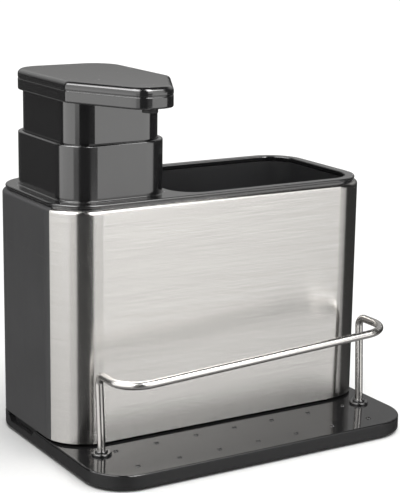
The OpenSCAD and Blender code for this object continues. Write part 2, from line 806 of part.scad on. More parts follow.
module spout_channel() color(white) {
    plug_r = stem_d / 2 - fit;
    top_z = channel_z + channel_r - channel_cap_drop;
    difference() {
        union() {
            at_pump() translate([0, 0, stem_top_z]) cylinder(r = plug_r, h = top_z - stem_top_z);
            translate([collar_x, nozzle_y, channel_z]) rotate([-90, 0, 0])
                cylinder(r = channel_r, h = collar_y - nozzle_y);
            translate([collar_x, nozzle_y, head_z + head_wall])
                cylinder(r = nozzle_d / 2, h = top_z - head_z - head_wall);
        }
        at_pump() translate([0, 0, stem_top_z - over])
            cylinder(r = channel_bore_r, h = channel_z - stem_top_z + over);
        translate([collar_x, nozzle_y, channel_z]) rotate([-90, 0, 0])
            cylinder(r = cross_bore_r, h = collar_y - nozzle_y);
        translate([collar_x, nozzle_y, head_z - over])
            cylinder(r = channel_bore_r, h = channel_z - head_z + over);
    }
}

module nozzle() color(black) translate([collar_x, nozzle_y, 0])
    tube(nozzle_d / 2, nozzle_bore / 2, head_z - nozzle_drop, head_z + head_wall);

module head_cap() color(dark) {
    difference() {
        crowned_prism(head_plan, cap_z, head_top_z, head_edge_r);
        prism(inset(head_plan, head_wall), cap_z - over, head_top_z - head_wall);
    }
}

base_tray();
rubber_feet();
wire_rail();
rail_bushes();
rail_push_nuts();
body_shell();
steel_wrap();
brush_well();
soap_tank();
top_cover();
tank_seal();
pump_chamber();
chamber_washer();
chamber_nut();
chamber_cap();
ball_cage();
inlet_ball();
dip_tube();
return_spring();
pump_stem();
piston();
outlet_ball();
guide_sleeve();
head_shell();
spout_channel();
nozzle();
head_cap();
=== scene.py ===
# Soap pump caddy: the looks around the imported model, in metres, Z up.
import math

import bmesh
import bpy
from mathutils import Matrix, Vector


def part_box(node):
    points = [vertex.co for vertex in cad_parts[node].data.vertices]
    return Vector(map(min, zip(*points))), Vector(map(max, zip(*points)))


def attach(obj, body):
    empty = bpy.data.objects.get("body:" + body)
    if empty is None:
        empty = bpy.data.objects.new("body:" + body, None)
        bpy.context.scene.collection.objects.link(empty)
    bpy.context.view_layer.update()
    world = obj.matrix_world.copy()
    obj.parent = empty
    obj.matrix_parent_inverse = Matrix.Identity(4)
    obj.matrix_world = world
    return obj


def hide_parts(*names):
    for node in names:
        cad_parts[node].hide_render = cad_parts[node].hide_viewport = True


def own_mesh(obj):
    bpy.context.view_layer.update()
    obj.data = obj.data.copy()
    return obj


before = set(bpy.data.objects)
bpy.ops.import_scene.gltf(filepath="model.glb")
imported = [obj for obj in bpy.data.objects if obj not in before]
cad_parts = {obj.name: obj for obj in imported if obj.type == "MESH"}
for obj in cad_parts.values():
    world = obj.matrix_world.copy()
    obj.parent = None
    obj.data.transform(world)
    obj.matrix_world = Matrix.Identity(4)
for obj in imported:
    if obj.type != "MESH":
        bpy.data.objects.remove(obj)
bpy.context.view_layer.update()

scene = bpy.context.scene
scene.view_settings.view_transform = "Standard"
print("frame loaded:", len(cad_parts), "nodes")


# Where the photograph was taken from. The focal length is in pixels of the picture.
photoView = {
    "place": (-0.3911, -0.6354, 0.2721),
    "azimuth": -31.44, "elevation": 13.34, "roll": 0.84,
    "focalPixels": 1512.3, "pictureHeight": 493, "sensor": 36.0, "clip": (0.05, 50),
}


def makeCamera(view):
    azimuth, elevation, roll = (math.radians(view[key]) for key in ("azimuth", "elevation", "roll"))
    back = Vector((math.sin(azimuth) * math.cos(elevation),
                   -math.cos(azimuth) * math.cos(elevation), math.sin(elevation)))
    right = Vector((math.cos(azimuth), math.sin(azimuth), 0))
    up = back.cross(right)
    camera = bpy.data.objects.new("photoCamera", bpy.data.cameras.new("photoCamera"))
    scene.collection.objects.link(camera)
    camera.data.sensor_width = view["sensor"]
    camera.data.lens = view["focalPixels"] * view["sensor"] / view["pictureHeight"]
    camera.data.clip_start, camera.data.clip_end = view["clip"]
    across = right * math.cos(roll) + up * math.sin(roll)
    upright = up * math.cos(roll) - right * math.sin(roll)
    place = Vector(view["place"])
    camera.matrix_world = Matrix.Translation(place) @ Matrix((across, upright, back)).transposed().to_4x4()
    scene.camera = camera


makeCamera(photoView)
print("camera placed")


# Short ways to add and join shader nodes
def plug(tree, socket, value):
    if isinstance(value, bpy.types.NodeSocket):
        tree.links.new(value, socket)
    else:
        socket.default_value = value


def addNode(tree, kind, values=None, **settings):
    node = tree.nodes.new("ShaderNode" + kind)
    for name, setting in settings.items():
        setattr(node, name, setting)
    for name, value in (values or {}).items():
        plug(tree, node.inputs[name], value)
    return node


def calc(tree, operation, first, second=0.0):
    return addNode(tree, "Math", {0: first, 1: second}, operation=operation).outputs[0]


def spread(tree, value, fromLow, fromHigh, toLow=0.0, toHigh=1.0, kind="LINEAR"):
    node = addNode(tree, "MapRange", {"Value": value, "From Min": fromLow, "From Max": fromHigh,
                                      "To Min": toLow, "To Max": toHigh}, interpolation_type=kind)
    return node.outputs["Result"]


# The light tent. Azimuths go from the front towards the left side, rises from the horizon, both in degrees:
# where a panel begins and ends, then half the width over which its light fades at each of the two.
lightTent = {
    "backdrop": 1.0, "ambient": 0.35, "room": 0.045, "colour": (1.0, 0.995, 0.985),
    "panels": {
        "rightHigh": {"turn": (-58, -24, 4, 2.5), "rise": (-12, -5.5, 2, 2), "glow": 2.0},
        "rightMid": {"turn": (-39, -1, 14, 3), "rise": (-5.5, 32, 2, 4), "glow": 2.0},
        "rightLow": {"turn": (-46, -1, 16, 3), "rise": (-21, -12, 9, 2), "glow": 1.7},
        "rightTop": {"turn": (-39, -1, 14, 5), "rise": (32, 68, 4, 6), "glow": 15.0},
        "leftHigh": {"turn": (62, 124, 2.5, 4), "rise": (-12, -5.5, 2, 2), "glow": 2.0},
        "leftStep": {"turn": (43, 62, 2.5, 2.5), "rise": (-9.5, -5.5, 2, 2), "glow": 1.3},
        "leftMid": {"turn": (43, 122, 3, 3), "rise": (-5.5, 32, 2, 4), "glow": 1.6},
        "leftLow": {"turn": (43, 122, 3, 3), "rise": (-21, -12, 9, 2), "glow": 1.4},
        "leftTop": {"turn": (48, 122, 10, 22), "rise": (32, 68, 4, 8), "glow": 9.0},
        "backSky": {"turn": (-210, -90, 12, 12), "rise": (6, 16, 3, 3), "glow": 0.3},
        "backHigh": {"turn": (-210, -90, 12, 12), "rise": (17, 36, 2, 6), "glow": 0.5},
        "leftBack": {"turn": (128, 188, 8, 8), "rise": (-90, 40, 5, 8), "glow": 0.03},
        "paper": {"turn": (-181, 181, 1, 1), "rise": (-90, -24, 5, 6), "glow": 0.25},
    },
}


def edgeFade(tree, angle, edge, fade, below, above):
    begin, finish = math.radians(edge - fade), math.radians(edge + fade)
    return spread(tree, angle, begin, finish, below, above, "SMOOTHSTEP")


def bandMask(tree, angle, low, high, lowFade, highFade):
    return calc(tree, "MULTIPLY", edgeFade(tree, angle, low, lowFade, 0.0, 1.0),
                edgeFade(tree, angle, high, highFade, 1.0, 0.0))


def alignment(tree, first, second):
    return addNode(tree, "VectorMath", {0: first, 1: second}, operation="DOT_PRODUCT").outputs["Value"]


def panelGlow(tree, flatWay, rise, panel):
    begin, finish, *fades = panel["turn"]
    centre, half = math.radians(begin + finish) / 2, (finish - begin) / 2
    towards = alignment(tree, flatWay, (-math.sin(centre), -math.cos(centre), 0))
    sideways = alignment(tree, flatWay, (-math.cos(centre), math.sin(centre), 0))
    across = bandMask(tree, calc(tree, "ARCTAN2", sideways, towards), -half, half, *fades)
    upright = bandMask(tree, calc(tree, "ARCSINE", rise), *panel["rise"])
    return calc(tree, "MULTIPLY", calc(tree, "MULTIPLY", across, upright), panel["glow"])


def makeWorld(tent):
    world = bpy.data.worlds.new("lightTent")
    scene.world = world
    world.use_nodes = True
    world.cycles.sampling_method = "NONE"
    tree = world.node_tree
    tree.nodes.clear()
    way = addNode(tree, "TexCoord").outputs["Generated"]
    level = addNode(tree, "VectorMath", {0: way, 1: (1, 1, 0)}, operation="MULTIPLY").outputs["Vector"]
    flatWay = addNode(tree, "VectorMath", {0: level}, operation="NORMALIZE").outputs["Vector"]
    rise = addNode(tree, "SeparateXYZ", {0: way}).outputs["Z"]
    glow = tent["room"]
    for panel in tent["panels"].values():
        glow = calc(tree, "ADD", panelGlow(tree, flatWay, rise, panel), glow)
    rays = addNode(tree, "LightPath")
    glow = spread(tree, rays.outputs["Is Diffuse Ray"], 0.0, 1.0, glow, tent["ambient"])
    glow = spread(tree, rays.outputs["Is Camera Ray"], 0.0, 1.0, glow, tent["backdrop"])
    light = addNode(tree, "Background", {"Color": (*tent["colour"], 1), "Strength": glow})
    out = addNode(tree, "OutputWorld")
    tree.links.new(light.outputs[0], out.inputs["Surface"])


# A wide, soft light from above gives the contact shadow on the floor.
skyLight = {"strength": 3.2, "spreadDegrees": 75, "lean": (0.25, 0.12, 0)}


def makeSkyLight(light):
    lamp = bpy.data.lights.new("skyLight", "SUN")
    lamp.energy = light["strength"]
    lamp.angle = math.radians(light["spreadDegrees"])
    lampObject = bpy.data.objects.new("skyLight", lamp)
    lampObject.rotation_euler = light["lean"]
    lampObject.visible_glossy = False
    scene.collection.objects.link(lampObject)


makeWorld(lightTent)
makeSkyLight(skyLight)
print("lights set")


# Shader groups that several finishes share. All work on object coordinates, which are metres here.
# A noise in their tables is its detail and roughness, with its scale first where no input gives that.
def startGroup(name, inputs, outputs):
    tree = bpy.data.node_groups.new(name, "ShaderNodeTree")
    for label, value in inputs.items():
        socket = tree.interface.new_socket(label, in_out="INPUT", socket_type="NodeSocketFloat")
        socket.default_value = value
    for label in outputs:
        tree.interface.new_socket(label, in_out="OUTPUT", socket_type="NodeSocketFloat")
    return tree, tree.nodes.new("NodeGroupInput").outputs, tree.nodes.new("NodeGroupOutput").inputs


def noiseAt(tree, place, scale, detail, roughness):
    return addNode(tree, "TexNoise", {"Vector": place, "Scale": scale, "Detail": detail,
                                      "Roughness": roughness}).outputs["Fac"]


def objectPlace(tree):
    return addNode(tree, "TexCoord").outputs["Object"]


# Fine texture that a spark-eroded or polished mould leaves, and a slow unevenness in its colour
grainTexture = {
    "inputs": {"Grains per metre": 2600, "Grain depth": 1.0, "Patches per metre": 45},
    "grain": (3.0, 0.6), "patches": (4.0, 0.6), "patchEnds": (0.3, 0.7),
}


def buildMouldGrain():
    tree, given, put = startGroup("mouldGrain", grainTexture["inputs"], ["Height", "Mottle"])
    place = objectPlace(tree)
    grain = noiseAt(tree, place, given["Grains per metre"], *grainTexture["grain"])
    plug(tree, put["Height"], calc(tree, "MULTIPLY", grain, given["Grain depth"]))
    patches = noiseAt(tree, place, given["Patches per metre"], *grainTexture["patches"])
    plug(tree, put["Mottle"], spread(tree, patches, *grainTexture["patchEnds"]))
    return tree


# Long fine scratches along the sheet, as a belt leaves them
lineTexture = {
    "inputs": {"Lines per metre": 4200, "Line length": 0.03, "Line depth": 1.0},
    "fine": (1.0, 3.0, 0.65), "broad": (0.3, 2.0, 0.5),
    "fineShare": 0.85, "broadShare": 0.15, "streakEnds": (0.33, 0.67),
}


def buildBrushLines():
    tree, given, put = startGroup("brushLines", lineTexture["inputs"], ["Height", "Streak"])
    place = objectPlace(tree)
    along = calc(tree, "DIVIDE", 1.0, given["Line length"])
    stretch = addNode(tree, "CombineXYZ", {"X": along, "Y": along, "Z": given["Lines per metre"]}).outputs[0]
    lines = addNode(tree, "VectorMath", {0: place, 1: stretch}, operation="MULTIPLY").outputs["Vector"]
    fine = noiseAt(tree, lines, *lineTexture["fine"])
    broad = noiseAt(tree, lines, *lineTexture["broad"])
    plug(tree, put["Height"], calc(tree, "MULTIPLY", fine, given["Line depth"]))
    mixed = calc(tree, "ADD", calc(tree, "MULTIPLY", fine, lineTexture["fineShare"]),
                 calc(tree, "MULTIPLY", broad, lineTexture["broadShare"]))
    plug(tree, put["Streak"], spread(tree, mixed, *lineTexture["streakEnds"]))
    return tree


# Where hands and cloths polish a rim, at a given height, broken up unevenly. The lighter colour that this
# mask carries is partly that wear and partly a painted highlight line along the rim's top edge.
rimRubAndHighlightTexture = {
    "inputs": {"Rim height": 0.1, "Reach": 0.0008, "Breaks per metre": 160},
    "breaks": (5.0, 0.7), "breakEnds": (0.42, 0.62),
}


def buildRubbedRim():
    tree, given, put = startGroup("rubbedRim", rimRubAndHighlightTexture["inputs"], ["Rub"])
    place = objectPlace(tree)
    height = addNode(tree, "SeparateXYZ", {0: place}).outputs["Z"]
    away = calc(tree, "ABSOLUTE", calc(tree, "SUBTRACT", height, given["Rim height"]))
    near = addNode(tree, "MapRange", {"Value": away, "From Min": given["Reach"], "From Max": 0.0},
                   interpolation_type="SMOOTHSTEP").outputs["Result"]
    breaks = noiseAt(tree, place, given["Breaks per metre"], *rimRubAndHighlightTexture["breaks"])
    breaks = spread(tree, breaks, *rimRubAndHighlightTexture["breakEnds"])
    plug(tree, put["Rub"], calc(tree, "MULTIPLY", near, breaks))
    return tree


# Thin dust on faces that look up
dustTexture = {
    "inputs": {"Amount": 0.3, "Patches per metre": 120}, "facingEnds": (0.75, 1.0),
    "patches": (6.0, 0.75), "patchEnds": (0.4, 0.75), "patchShare": 0.5,
    "specks": (2400.0, 2.0, 0.5), "speckEnds": (0.52, 0.72),
}


def buildSettledDust():
    tree, given, put = startGroup("settledDust", dustTexture["inputs"], ["Dust"])
    place = objectPlace(tree)
    facing = addNode(tree, "SeparateXYZ", {0: addNode(tree, "NewGeometry").outputs["Normal"]}).outputs["Z"]
    lying = spread(tree, facing, *dustTexture["facingEnds"], kind="SMOOTHSTEP")
    patches = noiseAt(tree, place, given["Patches per metre"], *dustTexture["patches"])
    patches = spread(tree, patches, *dustTexture["patchEnds"])
    specks = spread(tree, noiseAt(tree, place, *dustTexture["specks"]), *dustTexture["speckEnds"])
    layer = calc(tree, "ADD", calc(tree, "MULTIPLY", patches, dustTexture["patchShare"]), specks)
    plug(tree, put["Dust"], calc(tree, "MULTIPLY", calc(tree, "MULTIPLY", lying, layer), given["Amount"]))
    return tree


# Rings that drops of hard water leave when they dry
dropTexture = {
    "inputs": {"Drops per metre": 260, "Share kept": 0.2},
    "innerEnds": (0.16, 0.22), "outerEnds": (0.22, 0.27),
}


def buildDriedDrops():
    tree, given, put = startGroup("driedDrops", dropTexture["inputs"], ["Ring"])
    place = objectPlace(tree)
    drops = addNode(tree, "TexVoronoi", {"Vector": place, "Scale": given["Drops per metre"]})
    away = drops.outputs["Distance"]
    edge = spread(tree, away, *dropTexture["innerEnds"], kind="SMOOTHSTEP")
    inside = spread(tree, away, *dropTexture["outerEnds"], 1.0, 0.0, kind="SMOOTHSTEP")
    chosen = addNode(tree, "SeparateColor", {0: drops.outputs["Color"]}).outputs[0]
    kept = calc(tree, "LESS_THAN", chosen, given["Share kept"])
    plug(tree, put["Ring"], calc(tree, "MULTIPLY", kept, calc(tree, "MULTIPLY", edge, inside)))
    return tree


# Slow changes in gloss where fingers and cloths have been
glossTexture = {
    "inputs": {"Patches per metre": 40, "Wipes per metre": 220},
    "patches": (3.0, 0.55), "wipes": (5.0, 0.7), "wipeStretch": (1.0, 1.0, 0.18),
    "patchShare": 0.6, "wipeShare": 0.4, "shiftEnds": (0.32, 0.68),
}


def buildHandledGloss():
    tree, given, put = startGroup("handledGloss", glossTexture["inputs"], ["Shift"])
    place = objectPlace(tree)
    patches = noiseAt(tree, place, given["Patches per metre"], *glossTexture["patches"])
    swept = addNode(tree, "VectorMath", {0: place, 1: glossTexture["wipeStretch"]}, operation="MULTIPLY")
    wipes = noiseAt(tree, swept.outputs["Vector"], given["Wipes per metre"], *glossTexture["wipes"])
    both = calc(tree, "ADD", calc(tree, "MULTIPLY", patches, glossTexture["patchShare"]),
                calc(tree, "MULTIPLY", wipes, glossTexture["wipeShare"]))
    plug(tree, put["Shift"], spread(tree, both, *glossTexture["shiftEnds"]))
    return tree


groups = {build.__name__: build() for build in (
    buildMouldGrain, buildBrushLines, buildRubbedRim, buildSettledDust, buildDriedDrops, buildHandledGloss)}
print("shader groups built:", len(groups))


def useGroup(tree, build, **values):
    node = addNode(tree, "Group", node_tree=groups[build.__name__])
    for socket in node.inputs:
        key = socket.name.replace(" ", "")
        key = key[0].lower() + key[1:]
        if key in values:
            plug(tree, socket, values[key])
    return node.outputs


def startFinish(name, look):
    material = bpy.data.materials.new(name)
    material.use_nodes = True
    tree = material.node_tree
    shader = tree.nodes["Principled BSDF"].inputs
    shader["Base Color"].default_value = (*look["colour"], 1)
    for label, value in look.get("sockets", {}).items():
        shader[label].default_value = value
    return material, tree, shader


def tint(tree, mask, first, second):
    node = addNode(tree, "Mix", {"Factor": mask}, data_type="RGBA")
    colours = [socket for socket in node.inputs if socket.type == "RGBA"]
    for socket, value in zip(colours, (first, second)):
        plug(tree, socket, value if isinstance(value, bpy.types.NodeSocket) else (*value, 1))
    return [socket for socket in node.outputs if socket.type == "RGBA"][0]


def bumpFrom(tree, shader, height, distance):
    node = addNode(tree, "Bump", {"Strength": 1.0, "Distance": distance, "Height": height})
    plug(tree, shader["Normal"], node.outputs["Normal"])


dustDulls = 0.5  # what a full layer of dust adds to the roughness
rimDrop = 0.0004  # how far the wear on a rounded rim lies below its top


# Every plastic, rubber and bright-metal finish is made here from its own numbers.
def makeMoulded(name, look):
    material, tree, shader = startFinish(name, look)
    grain = useGroup(tree, buildMouldGrain, grainsPerMetre=look["grains"])
    gloss = useGroup(tree, buildHandledGloss)
    colour = tint(tree, grain["Mottle"], look["colour"], look["mottle"])
    roughness = spread(tree, gloss["Shift"], 0.0, 1.0, *look["roughness"])
    # Lighter colour at the rim: partly rub wear, partly a painted highlight line along the top edge
    if "rimHeight" in look:
        rubAndHighlight = useGroup(tree, buildRubbedRim, rimHeight=look["rimHeight"], reach=look["rimReach"])
        colour = tint(tree, rubAndHighlight["Rub"], colour, look["rimColour"])
        roughness = calc(tree, "ADD", roughness, calc(tree, "MULTIPLY", rubAndHighlight["Rub"], look["rimRoughness"]))
    if "dust" in look:
        dust = useGroup(tree, buildSettledDust, amount=look["dust"])
        colour = tint(tree, dust["Dust"], colour, look["dustColour"])
        roughness = calc(tree, "ADD", roughness, calc(tree, "MULTIPLY", dust["Dust"], dustDulls))
    plug(tree, shader["Base Color"], colour)
    plug(tree, shader["Roughness"], roughness)
    bumpFrom(tree, shader, grain["Height"], look["grainDepth"])
    return material


def dress(material, *names):
    for name in names:
        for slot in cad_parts[name].material_slots:
            slot.link = "OBJECT"
            slot.material = material


# Collar and deck: polished black, with a faint orange peel
coverLook = {
    "colour": (0.011, 0.011, 0.0115), "mottle": (0.0125, 0.0125, 0.013),
    "roughness": (0.16, 0.23), "grains": 900.0, "grainDepth": 0.000002,
    "sockets": {"Coat Weight": 1.0, "Coat Roughness": 0.08},
    # The lighter rim colour on the collar's top edge is partly rub wear, partly a painted highlight line.
    "rimHeight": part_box("top_cover")[1].z, "rimReach": 0.0007,
    "rimColour": (0.02, 0.02, 0.021), "rimRoughness": 0.1,
    "dust": 0.02, "dustColour": (0.2, 0.195, 0.185),
}
coverFinish = makeMoulded("coverFinish", coverLook)
dress(coverFinish, "top_cover")

# Sleeve: polished a little brighter than the collar it slides in
# The sleeve's top edge keeps the lighter rim colour: partly wear, partly a painted highlight line.
sleeveLook = dict(coverLook, roughness=(0.08, 0.13), rimHeight=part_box("guide_sleeve")[1].z)
sleeveFinish = makeMoulded("sleeveFinish", sleeveLook)
dress(sleeveFinish, "guide_sleeve")

# Head: the same black, a little softer on its broad top
# The cap's top edge gets the same lighter rim colour: partly wear, partly a painted highlight line.
headLook = dict(coverLook, roughness=(0.15, 0.21), rimReach=0.0006,
                rimHeight=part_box("head_cap")[1].z - rimDrop)
headFinish = makeMoulded("headFinish", headLook)

# Body casing: satin black with a fine spark-eroded grain
bodyLook = {
    "colour": (0.05, 0.05, 0.0515), "mottle": (0.056, 0.056, 0.0575),
    "roughness": (0.4, 0.5), "grains": 2600.0, "grainDepth": 0.000012,
    # The lighter rim colour along the body's top edge is partly rub wear, partly a painted highlight line.
    "rimHeight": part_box("body_shell")[1].z - rimDrop, "rimReach": 0.0009,
    "rimColour": (0.06, 0.058, 0.056), "rimRoughness": -0.08,
    "dust": 0.03, "dustColour": (0.2, 0.195, 0.185),
}
bodyFinish = makeMoulded("bodyFinish", bodyLook)
dress(bodyFinish, "body_shell")

# Brush well: matt black inside
wellLook = {
    "colour": (0.014, 0.014, 0.015), "mottle": (0.018, 0.018, 0.019),
    "roughness": (0.42, 0.52), "grains": 2200.0, "grainDepth": 0.000015,
    "dust": 0.05, "dustColour": (0.25, 0.245, 0.235),
}
wellFinish = makeMoulded("wellFinish", wellLook)
dress(wellFinish, "brush_well")

# Soft rubber: feet, seal, washer, piston and nozzle
rubberLook = {
    "colour": (0.012, 0.012, 0.0125), "mottle": (0.017, 0.017, 0.0175),
    "roughness": (0.5, 0.62), "grains": 3000.0, "grainDepth": 0.00001,
    "dust": 0.05, "dustColour": (0.2, 0.195, 0.185),
}
rubberFinish = makeMoulded("rubberFinish", rubberLook)
dress(rubberFinish, "rubber_feet", "tank_seal", "chamber_washer", "piston", "nozzle")

# Bushes: small glossy black mouldings
smallLook = dict(rubberLook, roughness=(0.16, 0.24), grains=1200.0, grainDepth=0.000003,
                 sockets={"Coat Weight": 0.6, "Coat Roughness": 0.08})
smallFinish = makeMoulded("smallFinish", smallLook)
dress(smallFinish, "rail_bushes")

# Pump works: natural white mouldings that let a little light in
pumpLook = {
    "colour": (0.62, 0.62, 0.585), "mottle": (0.66, 0.655, 0.62),
    "roughness": (0.34, 0.44), "grains": 1600.0, "grainDepth": 0.000006,
    "sockets": {"Subsurface Weight": 0.15, "Subsurface Scale": 0.002},
}
pumpFinish = makeMoulded("pumpFinish", pumpLook)
dress(pumpFinish, "pump_chamber", "chamber_nut", "chamber_cap", "ball_cage", "pump_stem", "spout_channel")

# Soap tank and dip tube: frosted, see-through moulding
clearLook = {
    "colour": (0.86, 0.9, 0.91), "mottle": (0.9, 0.93, 0.935),
    "roughness": (0.26, 0.36), "grains": 1400.0, "grainDepth": 0.000005,
    "sockets": {"Transmission Weight": 0.85, "IOR": 1.47},
}
clearFinish = makeMoulded("clearFinish", clearLook)
dress(clearFinish, "soap_tank", "dip_tube")
print("plastics dressed")


# Drip tray: a mirror-black top with dried drops and satin sides
trayLook = {
    "colour": (0.011, 0.011, 0.0115), "mottle": (0.0125, 0.0125, 0.013),
    "topRoughness": (0.05, 0.1), "sideRoughness": (0.42, 0.5), "glossPatches": 30.0,
    "belowBody": 0.0012, "glossEnds": (0.0009, 0.0006),  # top under the body's foot, then drops below that
    "grains": 2400.0, "grainDepth": 0.000008, "dropRoughness": 0.12, "dropShare": 0.12,
    "dust": 0.03, "dustColour": (0.2, 0.195, 0.185), "sockets": {"Specular IOR Level": 0.35},
}


def makeTrayFinish(look):
    material, tree, shader = startFinish("trayFinish", look)
    grain = useGroup(tree, buildMouldGrain, grainsPerMetre=look["grains"])
    gloss = useGroup(tree, buildHandledGloss, patchesPerMetre=look["glossPatches"])
    drops = useGroup(tree, buildDriedDrops, shareKept=look["dropShare"])
    dust = useGroup(tree, buildSettledDust, amount=look["dust"])
    height = addNode(tree, "SeparateXYZ", {0: objectPlace(tree)}).outputs["Z"]
    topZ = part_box("body_shell")[0].z - look["belowBody"]
    side = spread(tree, height, *(topZ - drop for drop in look["glossEnds"]), 1.0, 0.0, "SMOOTHSTEP")
    top = spread(tree, gloss["Shift"], 0.0, 1.0, *look["topRoughness"])
    top = calc(tree, "ADD", top, calc(tree, "MULTIPLY", drops["Ring"], look["dropRoughness"]))
    top = calc(tree, "ADD", top, dust["Dust"])
    flank = spread(tree, gloss["Shift"], 0.0, 1.0, *look["sideRoughness"])
    colour = tint(tree, grain["Mottle"], look["colour"], look["mottle"])
    plug(tree, shader["Base Color"], tint(tree, dust["Dust"], colour, look["dustColour"]))
    plug(tree, shader["Roughness"], spread(tree, side, 0.0, 1.0, top, flank))
    bumpFrom(tree, shader, calc(tree, "MULTIPLY", grain["Height"], side), look["grainDepth"])
    return material


trayFinish = makeTrayFinish(trayLook)
dress(trayFinish, "base_tray")

# Steel front: brushed along its length, so lights smear up and down
steelLook = {
    "colour": (0.5, 0.49, 0.475), "streak": (0.43, 0.42, 0.405), "roughness": (0.205, 0.24),
    "linesPerMetre": 6500.0, "lineLength": 0.009, "lineDepth": 0.0000006,
    "sockets": {"Metallic": 1.0, "Anisotropic": 0.95, "Anisotropic Rotation": 0.25},
}


def makeSteelFinish(look):
    material, tree, shader = startFinish("steelFinish", look)
    lines = useGroup(tree, buildBrushLines, linesPerMetre=look["linesPerMetre"],
                     lineLength=look["lineLength"])
    plug(tree, shader["Base Color"], tint(tree, lines["Streak"], look["colour"], look["streak"]))
    plug(tree, shader["Roughness"], spread(tree, lines["Streak"], 0.0, 1.0, *look["roughness"]))
    around = addNode(tree, "Tangent", direction_type="RADIAL", axis="Z")
    plug(tree, shader["Tangent"], around.outputs["Tangent"])
    bumpFrom(tree, shader, lines["Height"], look["lineDepth"])
    return material


steelFinish = makeSteelFinish(steelLook)
dress(steelFinish, "steel_wrap")

# Bright metal: drawn and polished wire, stamped nuts, valve balls
wireLook = {"colour": (0.66, 0.64, 0.62), "mottle": (0.6, 0.585, 0.57), "roughness": (0.2, 0.28),
            "grains": 1500.0, "grainDepth": 0.000001, "sockets": {"Metallic": 1.0}}
ballLook = dict(wireLook, roughness=(0.05, 0.09), grainDepth=0.0000005)
springLook = dict(wireLook, colour=(0.55, 0.54, 0.53), mottle=(0.48, 0.475, 0.465), roughness=(0.2, 0.3))
wireFinish = makeMoulded("wireFinish", wireLook)
ballFinish = makeMoulded("ballFinish", ballLook)
springFinish = makeMoulded("springFinish", springLook)
dress(ballFinish, "inlet_ball", "outlet_ball")
dress(springFinish, "rail_push_nuts")
print("metals dressed")


# Rings of points, and the skins between them
def sideNormal(corners, index):
    (ax, ay, ar), (bx, by, br) = corners[index], corners[(index + 1) % len(corners)]
    return math.atan2(by - ay, bx - ax) - math.acos((ar - br) / math.hypot(bx - ax, by - ay))


def outlineRing(corners, inset, height, steps=14):
    ring = []
    for index, (x, y, radius) in enumerate(corners):
        start = sideNormal(corners, index - 1)
        turn = (sideNormal(corners, index) - start) % math.tau
        reach = radius - inset
        for step in range(steps + 1):
            angle = start + turn * step / steps
            ring.append((x + reach * math.cos(angle), y + reach * math.sin(angle), height))
    return ring


def roundRing(x, y, radius, height, steps=40):
    angles = [math.tau * step / steps for step in range(steps)]
    return [(x + radius * math.cos(angle), y + radius * math.sin(angle), height) for angle in angles]


def joinRings(bm, rings):
    made = [[bm.verts.new(point) for point in ring] for ring in rings]
    for lower, upper in zip(made, made[1:]):
        for index in range(len(lower)):
            after = (index + 1) % len(lower)
            bm.faces.new((lower[index], lower[after], upper[after], upper[index]))
    return made


def fillBetween(bm, outer, holes):
    edges = []
    for ring in [outer] + holes:
        for index, vert in enumerate(ring):
            edges.append(bm.edges.get((vert, ring[(index + 1) % len(ring)])))
    bmesh.ops.triangle_fill(bm, use_beauty=True, edges=edges)


def roundedEdge(inset, height, radius, fromAngle, toAngle, steps=5):
    # inset and height of the centre of the rounding; 0 degrees points out, 90 up
    angles = [math.radians(fromAngle + (toAngle - fromAngle) * step / steps) for step in range(steps + 1)]
    return [(inset - radius * math.cos(a), height + radius * math.sin(a)) for a in angles]


def finishPiece(name, bm, material, body, replaced, sharp=40):
    bmesh.ops.recalc_face_normals(bm, faces=bm.faces[:])
    mesh = bpy.data.meshes.new(name)
    bm.to_mesh(mesh)
    bm.free()
    mesh.materials.append(material)
    mesh.shade_smooth()
    mesh.set_sharp_from_angle(angle=math.radians(sharp))
    piece = bpy.data.objects.new(name, mesh)
    scene.collection.objects.link(piece)
    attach(piece, body)
    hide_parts(replaced)
    return piece


# The head's outline in plan: square at the back, drawn in to a blunt spout
headShape = {"backRadius": 0.0155, "sideRadius": 0.005, "tipRadius": 0.010, "tipFlat": 0.005,
             "sleeveInset": 0.0026, "wall": 0.002}


def headOutline(shape):
    low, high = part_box("head_cap")
    middle = (low.x + high.x) / 2
    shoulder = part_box("guide_sleeve")[0].y - shape["sleeveInset"] + shape["sideRadius"]
    back, side, tip = shape["backRadius"], shape["sideRadius"], shape["tipRadius"]
    return [(high.x - back, high.y - back, back), (low.x + back, high.y - back, back),
            (low.x + side, shoulder, side),
            (middle - shape["tipFlat"] / 2, low.y + tip, tip),
            (middle + shape["tipFlat"] / 2, low.y + tip, tip),
            (high.x - side, shoulder, side)]


headCorners = headOutline(headShape)

# Cap of the head: a shallow lid with a soft top edge
capShape = {"edgeRadius": 0.0024, "edgeSteps": 7, "lipRadius": 0.00025, "lipSteps": 3,
            "hold": 0.0003, "topHolds": 4}


def makeHeadCap(shape):
    low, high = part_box("head_cap")
    edge, lip, hold = shape["edgeRadius"], shape["lipRadius"], shape["hold"]
    wall = headShape["wall"]
    profile = [(wall, high.z - wall), (wall, low.z)]
    profile += roundedEdge(lip, low.z + lip, lip, -90, 0, shape["lipSteps"])
    profile += [(0, low.z + lip + hold), (0, high.z - edge - hold)]
    profile += roundedEdge(edge, high.z - edge, edge, 0, 90, shape["edgeSteps"])
    profile += [(edge + hold, high.z), (edge + hold * shape["topHolds"], high.z)]
    bm = bmesh.new()
    rings = joinRings(bm, [outlineRing(headCorners, inset, z) for inset, z in profile])
    bm.faces.new(rings[0])
    bm.faces.new(rings[-1])
    return finishPiece("headCapTop", bm, headFinish, "pump_head", "head_cap")


makeHeadCap(capShape)

# Case of the head: its floor carries the stem's socket and the nozzle's hole
caseShape = {"edgeRadius": 0.0008, "edgeSteps": 5, "lipRadius": 0.00035, "lipSteps": 3, "hold": 0.0003,
             "line": 0.0004, "socketRadius": 0.0075, "socketChamfer": 0.0004, "boreSpare": 0.00002,
             "nozzleSteps": 32}


